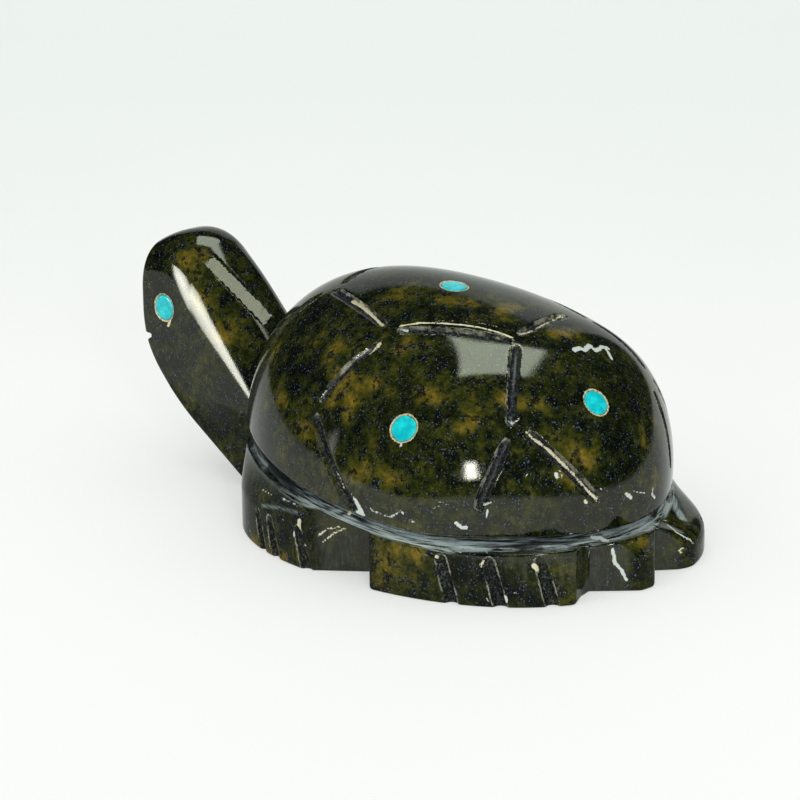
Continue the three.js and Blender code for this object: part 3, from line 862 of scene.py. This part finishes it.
def places_of(piece):
    """The piece's vertices in millimetres."""
    flat = np.empty(len(piece.data.vertices) * 3)
    piece.data.vertices.foreach_get("co", flat)
    return flat.reshape(-1, 3) / MM


def marks_level(p, table, reach=1.0, ragged=0.35):
    """Distance outside the nearest mark of a table in millimetres, with a ragged edge."""
    level = np.full(len(p), reach)
    for row in filter(None, table.splitlines()):
        radius, *numbers = map(float, row.split())
        path = np.reshape(numbers, (-1, 3))
        low, high = path.min(0) - reach - radius, path.max(0) + reach + radius
        near = np.flatnonzero(((p > low) & (p < high)).all(1))
        distance = np.min([rod_level(p[near], *ends, 0.0) for ends in zip(path, path[1:])], axis=0)
        edge = radius * (1 + ragged * noise(p[near], 0.3, radius * 40))
        level[near] = np.minimum(level[near], distance - edge)
    return level


def fewer_faces(piece, share):
    """Takes faces away, but none within FINE_REACH of the pale marks."""
    marked = marks_level(places_of(piece), WHITE_MARKS + CREAM_MARKS) < FINE_REACH
    group = piece.vertex_groups.new(name="plain")
    group.add(np.flatnonzero(~marked).tolist(), 1.0, "REPLACE")
    modifier = piece.modifiers.new("fewer", "DECIMATE")
    modifier.ratio = share
    modifier.vertex_group = group.name
    graph = bpy.context.evaluated_depsgraph_get()
    data = bpy.data.meshes.new_from_object(piece.evaluated_get(graph))
    piece.modifiers.clear()
    piece.vertex_groups.clear()
    old = piece.data
    piece.data = data
    bpy.data.meshes.remove(old)
    data.name = piece.name


def line_values(p, shell):
    """Distance outside the nearest shell line's edge, and the side of that line, positive above."""
    edge = np.full(len(p), LINE_REACH)
    side = np.zeros(len(p))
    for line, near in lines_near(p, shell, 1.0):
        along, across, half_width, _ = line.place(p[near])
        distance = np.maximum(np.abs(across) - half_width, np.maximum(-along, along - line.length))
        closer = distance < edge[near]
        edge[near[closer]] = distance[closer]
        side[near[closer]] = (across * np.sign(line.across[2] + 1e-3))[closer]
    return edge, side


def dress_stone(piece):
    """Gives each vertex its distances from the carving's features, for the material."""
    p = places_of(piece)
    shell = in_parts(shell_level, p)
    neck = in_parts(neck_level, p)
    rim = rim_frame(p)[2]
    wall, _ = wall_level(p)
    edge, side = line_values(p, shell)
    joint = np.where(p[:, 2] > RIM_HEIGHT - 3, np.maximum(np.abs(neck), np.abs(shell)), 9.0)

    # notch faces, but not the tail's end face and the right rear foot, which are polished
    notch = np.min([np.abs(outline_level(p, corners)) for corners in NOTCHES], axis=0)
    x, y, z = p.T
    polished = (x < 2.7) & (y > 13.5) & (x > 0.1) | (x < -3.8) & (y > 8)

    # points in the carved lines are moved out to the uncarved shell, where the marks were measured
    sunk = np.clip(shell, -0.7, 0) * (neck > 0) * (rim > 0.2)
    flat = p - sunk[:, None] * unit(slopes_of(shell_level, p))
    values = {
        "line_edge": edge,
        "line_side": side,
        "glue": np.minimum(nearest_of(p, INLAY_EDGES, GLUE_REACH), 2.0),
        "toe": np.minimum(toes_level(p), 1.5),
        "rim_height": np.where((np.abs(shell) < 2.5) & (neck > 0.35), rim, 9.0),
        "rim_out": np.clip(shell, -2.0, 4.0),
        "joint": np.minimum(joint, 2.0),
        "notch": np.where((z < 4.05) & ~polished, notch, 9.0),
        "wall": smooth_step(wall, -1.2, -0.2) * smooth_step(rim, -0.7, -1.1),
        "white_mark": marks_level(flat, WHITE_MARKS),
        "cream_mark": marks_level(flat, CREAM_MARKS),
        "powder": marks_level(flat, POWDER_MARKS, 1.5, 0.0),
        "yellow_mark": marks_level(flat, YELLOW_MARKS, 3.0, 0.2),
    }
    for name, numbers in values.items():
        layer = piece.data.attributes.new(name, "FLOAT", "POINT")
        layer.data.foreach_set("value", np.asarray(numbers, np.float32))


def rgb(*values):
    """A colour from its values on a screen, 0 to 255."""
    def linear(c):
        c /= 255
        return c / 12.92 if c <= 0.04045 else ((c + 0.055) / 1.055) ** 2.4
    return (*map(linear, values), 1.0)


class Shader:
    """Short calls for building one material, with places and lengths in millimetres."""

    def __init__(self, name):
        self.material = bpy.data.materials.new(name)
        self.material.use_nodes = True
        self.tree = self.material.node_tree
        own = self.node("TexCoord", {}, "Object")
        self.here = self.node("VectorMath", {0: own, "Scale": 1 / MM}, operation="SCALE")

    def set(self, node, name, value):
        socket = node.inputs[name]
        if isinstance(value, bpy.types.NodeSocket):
            self.tree.links.new(value, socket)
        else:
            socket.default_value = value

    def node(self, kind, inputs, output=0, **settings):
        """One output of a new node with the given inputs and settings."""
        node = self.tree.nodes.new("ShaderNode" + kind)
        for name, value in settings.items():
            setattr(node, name, value)
        for name, value in inputs.items():
            self.set(node, name, value)
        return node.outputs[output]

    def noise(self, scale, detail, roughness=0.5, distortion=0.0, place=None):
        return self.node("TexNoise", {"Vector": place or self.here, "Scale": scale, "Detail": detail,
                                      "Roughness": roughness, "Distortion": distortion})

    def value(self, name):
        return self.node("Attribute", {}, "Fac", attribute_name=name)

    def chain(self, operation, value, *others):
        for other in others:
            value = self.node("Math", {0: value, 1: other}, operation=operation)
        return value

    def times(self, *values):
        return self.chain("MULTIPLY", *values)

    def plus(self, *values):
        return self.chain("ADD", *values)

    def most(self, *values):
        return self.chain("MAXIMUM", *values)

    def ramp(self, value, start, end, low=0.0, high=1.0):
        """Goes smoothly from low to high as the value goes from start to end."""
        numbers = dict(enumerate((value, start, end, low, high)))
        return self.node("MapRange", numbers, interpolation_type="SMOOTHSTEP")

    def band(self, value, top, upper, bottom, lower):
        """1 from lower to upper, and nothing above top or below bottom."""
        return self.times(self.ramp(value, top, upper), self.ramp(value, bottom, lower))

    def mix(self, share, a, b):
        """Colour a where the share is 0, and b where it is 1."""
        return self.node("Mix", {0: share, 6: a, 7: b}, 2, data_type="RGBA")

    def paint(self, share, colour, strength=1.0):
        """Lays a colour over the surface where the share is 1."""
        if strength < 1:
            share = self.times(share, strength)
        self.colour = self.mix(share, self.colour, colour)

    def steps(self, value, stops):
        """Colours at given values, blended between them."""
        output = self.node("ValToRGB", {0: value})
        elements = output.node.color_ramp.elements
        while len(elements) < len(stops):
            elements.new(0.5)
        for element, (position, colour) in zip(elements, stops):
            element.position = position
            element.color = colour
        return output

    def bump(self, height, strength, distance):
        return self.node("Bump", {"Height": height, "Strength": strength, "Distance": distance * MM})

    def finish(self, **sockets):
        for name, value in sockets.items():
            self.set(self.tree.nodes["Principled BSDF"], name.replace("_", " "), value)
        return self.material


def stone_material():
    s = Shader("polished_stone")
    zones = s.noise(0.22, 3.0)
    patches = s.noise(0.75, 6.0, 0.62, 0.1)
    grain = s.noise(2.6, 5.0, 0.68)
    specks = s.noise(1.15, 5.0, 0.68)
    dust = s.noise(6.2, 1.5, 0.6)
    streaks = s.noise(5.5, 4.0, 0.7)
    broken = s.ramp(s.noise(0.85, 3.0, 0.6), 0.40, 0.58)
    wobble = s.times(s.plus(s.noise(3.6, 4.0, 0.75), -0.5), 0.3)

    # body colour: black green through olive to a few soft yellow brown places, with fine flecks
    fine = s.plus(s.times(patches, 0.4), s.times(grain, 0.3))
    lift = s.ramp(s.value("yellow_mark"), 0.9, -0.4, 0.0, 0.14)
    s.colour = s.steps(s.plus(s.times(zones, 0.3), fine, lift), (
        (0.38, rgb(4, 7, 4)),
        (0.45, rgb(13, 18, 6)),
        (0.52, rgb(33, 39, 9)),
        (0.59, rgb(58, 58, 14)),
        (0.68, rgb(94, 82, 22)),
        (0.80, rgb(146, 116, 40)),
    ))
    s.paint(s.ramp(specks, 0.50, 0.60), rgb(5, 8, 8), 0.85)
    fleck = s.times(s.ramp(dust, 0.60, 0.70), s.ramp(specks, 0.42, 0.58, 0.12, 1.0))
    s.paint(fleck, rgb(88, 102, 130), 0.75)

    # carved lines: a dull dark floor, and pale broken lips of residue, painted much paler along each line's
    # upper lip as a painted highlight
    near = s.plus(s.value("line_edge"), wobble)
    line_floor = s.ramp(near, 0.02, -0.12)
    s.paint(line_floor, s.mix(s.ramp(streaks, 0.48, 0.72), rgb(9, 11, 12), rgb(84, 96, 106)))
    # the pale lip is painted strongest on the upper side of each line: residue, plus a painted highlight on
    # the lit edge
    above = s.ramp(s.value("line_side"), -0.2, 0.25, 0.06, 0.42)
    lip_colour = s.mix(s.ramp(streaks, 0.4, 0.6), rgb(150, 162, 156), rgb(206, 196, 160))
    s.paint(s.times(s.band(near, 0.07, 0.02, -0.14, -0.07), above, broken), lip_colour)

    # toe grooves
    toe = s.plus(s.value("toe"), wobble)
    toe_floor = s.ramp(toe, 0.08, 0.0)
    s.paint(toe_floor, s.mix(s.ramp(streaks, 0.48, 0.74), rgb(10, 13, 12), rgb(80, 90, 92)))
    s.paint(s.times(s.band(toe, 0.16, 0.1, 0.02, 0.07), s.times(broken, 0.5)), lip_colour)

    # the groove under the rim keeps a bluish powder in fine streaks, with a paler line on its lower lip
    height = s.value("rim_height")
    x, y = [s.node("SeparateXYZ", {0: s.here}, axis) for axis in "XY"]
    run = s.node("CombineXYZ", {0: s.times(x, 0.35), 1: s.times(y, 0.35), 2: s.times(height, 9.0)})
    smear = s.noise(1.0, 5.0, 0.7, place=run)
    close = s.ramp(s.value("rim_out"), 0.75, 0.4)
    towards_tail = s.ramp(y, -13.0, -6.0, 0.12, 1.0)
    groove = s.times(s.band(height, 0.5, 0.2, -0.85, -0.65), close)
    powdered = s.times(s.ramp(smear, 0.43, 0.64), towards_tail)
    s.paint(groove, s.mix(powdered, rgb(14, 18, 19), rgb(146, 162, 164)), 0.9)
    lower = s.times(s.band(height, -0.42, -0.62, -0.98, -0.80), close)
    s.paint(s.times(lower, s.times(s.ramp(smear, 0.42, 0.56), towards_tail)), rgb(168, 182, 176), 0.85)
    s.paint(s.times(s.band(height, 0.62, 0.52, 0.38, 0.47), broken, close), rgb(166, 158, 122), 0.7)

    # powder smeared along the ledge in places, and the crease between the neck and the shell
    smeared = s.times(s.ramp(s.value("powder"), 0.12, -0.3), s.ramp(smear, 0.36, 0.58, 0.12, 1.0))
    s.paint(smeared, rgb(156, 172, 170), 0.85)
    joint = s.times(s.ramp(s.plus(s.value("joint"), wobble), 0.3, 0.12), broken)
    s.paint(joint, rgb(128, 140, 134), 0.7)

    # notch faces
    upright = s.noise(1.6, 5.0, 0.7, place=s.node("Mapping", {"Vector": s.here, "Scale": (2.0, 2.0, 0.5)}))
    notch = s.times(s.ramp(s.value("notch"), 0.14, 0.06), s.ramp(s.noise(0.35, 2.0), 0.44, 0.56, 0.25, 0.9))
    s.paint(notch, s.mix(s.ramp(upright, 0.4, 0.7), rgb(13, 16, 10), rgb(50, 56, 50)))

    # marks, residues and the glue round the inlays
    rough_edge = s.times(s.plus(s.noise(6.0, 3.0, 0.7), -0.5), 0.26)
    white = s.ramp(s.plus(s.value("white_mark"), rough_edge), 0.0, -0.05)
    s.paint(white, rgb(196, 206, 198), 0.92)
    cream = s.ramp(s.plus(s.value("cream_mark"), rough_edge), 0.0, -0.05)
    s.paint(cream, rgb(210, 205, 170), 0.92)
    glue = s.ramp(s.plus(s.value("glue"), s.times(wobble, 1.1)), GLUE_WIDTH, GLUE_WIDTH - 0.06)
    s.paint(glue, s.mix(s.ramp(streaks, 0.36, 0.6), rgb(140, 122, 84), rgb(216, 200, 158)))

    dull = s.most(line_floor, toe_floor, white, cream, s.times(groove, 0.9), glue, s.times(notch, 0.5))
    polish = s.ramp(s.noise(1.1, 4.0, 0.6), 0.3, 0.7, 0.04, 0.1)
    facing = s.node("LayerWeight", {"Blend": 0.5}, "Facing")
    gloss = s.times(s.ramp(facing, 0.1, 0.66, 0.45, 0.08), s.ramp(s.value("wall"), 0.0, 1.0, 1.0, 0.22))
    pits = s.plus(s.times(grain, 0.5), s.times(streaks, 0.5))
    return s.finish(Base_Color=s.colour, Roughness=s.node("Mix", {0: dull, 2: polish, 3: 0.42}), IOR=1.5,
                    Specular_IOR_Level=gloss, Specular_Tint=(1.0, 1.0, 0.85, 1.0),
                    Normal=s.bump(pits, 0.1, 0.05))


def turquoise_material():
    s = Shader("turquoise")
    cloud = s.noise(1.4, 4.0, 0.6)
    veins = s.noise(3.2, 5.0, 0.7, 0.6)
    s.colour = s.mix(s.ramp(cloud, 0.35, 0.65), rgb(0, 170, 180), rgb(0, 206, 208))
    s.paint(s.ramp(veins, 0.64, 0.76, 0.0, 0.45), rgb(10, 120, 124))
    return s.finish(Base_Color=s.colour, Roughness=s.ramp(cloud, 0.3, 0.7, 0.16, 0.28), IOR=1.4,
                    Normal=s.bump(s.noise(6.0, 3.0, 0.6), 0.15, 0.04))


def floor_material():
    """Nearly white, partly lit from within by a painted glow that lightens its shadows; the glow is a little
    darker and greener towards the back, a painted fall-off of the light.
    """
    s = Shader("pale_floor")
    cloud = s.noise(0.006, 4.0)
    away = (math.cos(BACK_ANGLE), math.sin(BACK_ANGLE), 0)
    distance = s.node("VectorMath", {0: s.here, 1: away}, "Value", operation="DOT_PRODUCT")
    # painted light: an emitted glow that lifts the floor's shadows and fades a little towards the back
    painted_floor_light = s.mix(s.ramp(distance, -60, 240), (0.452, 0.452, 0.450, 1), (0.362, 0.392, 0.368, 1))
    colour = s.mix(s.ramp(cloud, 0.3, 0.7), rgb(186, 188, 186), rgb(190, 192, 190))
    return s.finish(Base_Color=colour, Emission_Color=painted_floor_light, Emission_Strength=1.0,
                    Roughness=s.ramp(cloud, 0.3, 0.7, 0.75, 0.85), IOR=1.3)


# Inlays: round plugs a little off true, with a softened edge, following the surface round them
INLAY_STAND = 0.025
INLAY_SHOWN = 0.5


def inlay_mesh(name, point, out, radius, level, count=56):
    seed = np.random.default_rng(len(name) * 31 + ord(name[-1]))
    first = unit(np.cross(out, np.array([0.3, 0.2, 0.9])))
    second = np.cross(out, first)
    turns = np.linspace(0, 2 * math.pi, count, endpoint=False)
    wave = sum(seed.uniform(0.004, 0.012) * np.cos(k * turns + seed.uniform(0, 6)) for k in (2, 3, 4, 5, 7))
    rings = []
    shares = [0.2, 0.4, 0.6, 0.78, 0.9, 0.96, 1.0, 1.0]
    drops = [0, 0, 0, 0, 0.004, 0.02, 0.07, INLAY_SHOWN]
    for share, drop in zip(shares, drops):
        reach = radius * share * (1 + wave * share)
        ring = point + np.outer(reach * np.cos(turns), first) + np.outer(reach * np.sin(turns), second)
        if drop < INLAY_SHOWN:
            for _ in range(4):
                ring = ring - level(ring)[:, None] * out
            ring = ring + out * (INLAY_STAND - drop)
        else:
            ring = ring - out * drop
        rings.append(ring)
    crown = point[None] + out * INLAY_STAND
    vertices = np.concatenate([*rings, crown, point[None] - out * INLAY_SHOWN])
    last = (len(rings) - 1) * count
    pairs = [(i, (i + 1) % count) for i in range(count)]
    faces = [[row + i, row + count + i, row + count + j, row + j]
             for row in range(0, last, count) for i, j in pairs]
    for i, j in pairs:
        faces += [[last + count, i, j], [last + count + 1, last + j, last + i]]
    return make_mesh("turquoise_" + name, vertices, faces)


vertices, faces = stone_mesh()
stone = make_mesh("carved_stone", vertices, faces)
fewer_faces(stone, min(1.0, MOST_TRIANGLES / (2 * len(faces))))
normals = unit(slopes_of(stone_level, places_of(stone)))
stone.data.normals_split_custom_set_from_vertices(normals.tolist())
dress_stone(stone)
stone.data.materials.append(stone_material())
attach(stone, "root")
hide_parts("turtle_stone")

turquoise_look = turquoise_material()
for name, place in INLAYS.items():
    piece = inlay_mesh(name, *place)
    piece.data.materials.append(turquoise_look)
    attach(piece, "root")
    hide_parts("inlay_" + name)


# Stage: a wide pale floor with a narrow backdrop rising behind the object
FLOOR_REACH = 1.6
SWEEP_START = 0.42
SWEEP_RADIUS = 0.22
SWEEP_TOP = 0.46
SWEEP_HALF_WIDTH = 0.27


def stage_mesh():
    away = np.array([math.cos(BACK_ANGLE), math.sin(BACK_ANGLE), 0])
    across = np.array([-away[1], away[0], 0])
    profile = [(-FLOOR_REACH, 0.0, FLOOR_REACH), (FLOOR_REACH, 0.0, FLOOR_REACH)]
    for turn in np.linspace(0, math.pi / 2, 13):
        ahead = SWEEP_START + SWEEP_RADIUS * math.sin(turn)
        profile.append((ahead, SWEEP_RADIUS * (1 - math.cos(turn)), SWEEP_HALF_WIDTH))
    profile.append((SWEEP_START + SWEEP_RADIUS, SWEEP_TOP, SWEEP_HALF_WIDTH))
    vertices = [(away * distance + across * side * half_width + [0, 0, height]) / MM
                for distance, height, half_width in profile for side in (-1, 1)]
    rows = [2 * row for row in range(len(profile) - 1) if row != 1]
    return make_mesh("floor_and_backdrop", vertices, [[row, row + 1, row + 3, row + 2] for row in rows])


floor = stage_mesh()
floor.data.materials.append(floor_material())


def aim(thing, place, target, roll=0.0):
    forward = (Vector(target) - Vector(place)).normalized()
    level = forward.cross(Vector((0, 0, 1))).normalized()
    upright = level.cross(forward)
    right = level * math.cos(roll) + upright * math.sin(roll)
    up = right.cross(forward)
    turned = Matrix((right, up, -forward)).transposed()
    thing.matrix_world = Matrix.Translation(Vector(place)) @ turned.to_4x4()


def lamp(name, place, size, radiance, colour=(1, 1, 1), target=(0, -0.01, 0.008), spread=180):
    """A rectangular lamp of a given radiance along its axis."""
    data = bpy.data.lights.new(name, "AREA")
    data.shape = "RECTANGLE"
    data.size, data.size_y = size
    data.energy = radiance * math.pi * size[0] * size[1]
    data.color = colour
    data.spread = math.radians(spread)
    if spread < 180:
        half = data.spread / 2
        data.energy *= (math.tan(half) - half) / math.tan(half)
    thing = put(name, data)
    aim(thing, place, target)
    return thing


# Main lights: a soft one seen in the polish, a small one for the glints, and a wide fill
SOFTBOX_PLACE = (-0.377, -0.092, 1.0)
softbox = lamp("softbox", SOFTBOX_PLACE, (0.55, 0.55), 7.3, (0.90, 1.0, 0.89))
softbox.matrix_world = Matrix.Translation(SOFTBOX_PLACE) @ Matrix.Rotation(math.radians(41), 4, "Z")
softbox.visible_diffuse = False
lamp("small_lamp", 0.8 * direction(54, 18), (0.07, 0.15), 40)
key = lamp("key", direction(33, 45), (1.4, 1.4), 0.75, (0.99, 1.0, 0.985))
key.visible_glossy = False

# Two small lamps that only the head catches: on the side's ridge and on the nape's flat band
HEAD_SPOT = np.array([4.3, -33.0, 15.0]) * MM
NAPE_SPOT = (BAND_START + BAND_END) / 2 * MM
beam = lamp("head_beam", HEAD_SPOT + 0.05 * direction(-27, 6.5), (0.020, 0.026), 27,
            target=HEAD_SPOT, spread=50)
card = lamp("nape_card", NAPE_SPOT + 0.12 * direction(118, 62.4), (0.022, 0.028), 7.6,
            (0.95, 1.0, 0.86), NAPE_SPOT, 24)
beam.visible_diffuse = card.visible_diffuse = False

sun = bpy.data.lights.new("sky", "SUN")
sun.energy = 2.3
sun.angle = math.radians(150)
sky = put("sky", sun)
aim(sky, direction(50, 75), (0, 0, 0))
sky.visible_glossy = False

world = bpy.data.worlds.new("dim_room")
bpy.context.scene.world = world
world.use_nodes = True
world.node_tree.nodes["Background"].inputs["Color"].default_value = (0.02, 0.02, 0.02, 1)

view = bpy.data.cameras.new("camera")
view.sensor_width = 36
view.lens = CAMERA_LENS
view.clip_start, view.clip_end = 0.01, 10
camera = put("camera", view)
aim(camera, CAMERA * MM, CAMERA_AIM * MM, CAMERA_ROLL)
bpy.context.scene.camera = camera
bpy.context.scene.view_settings.view_transform = "Standard"
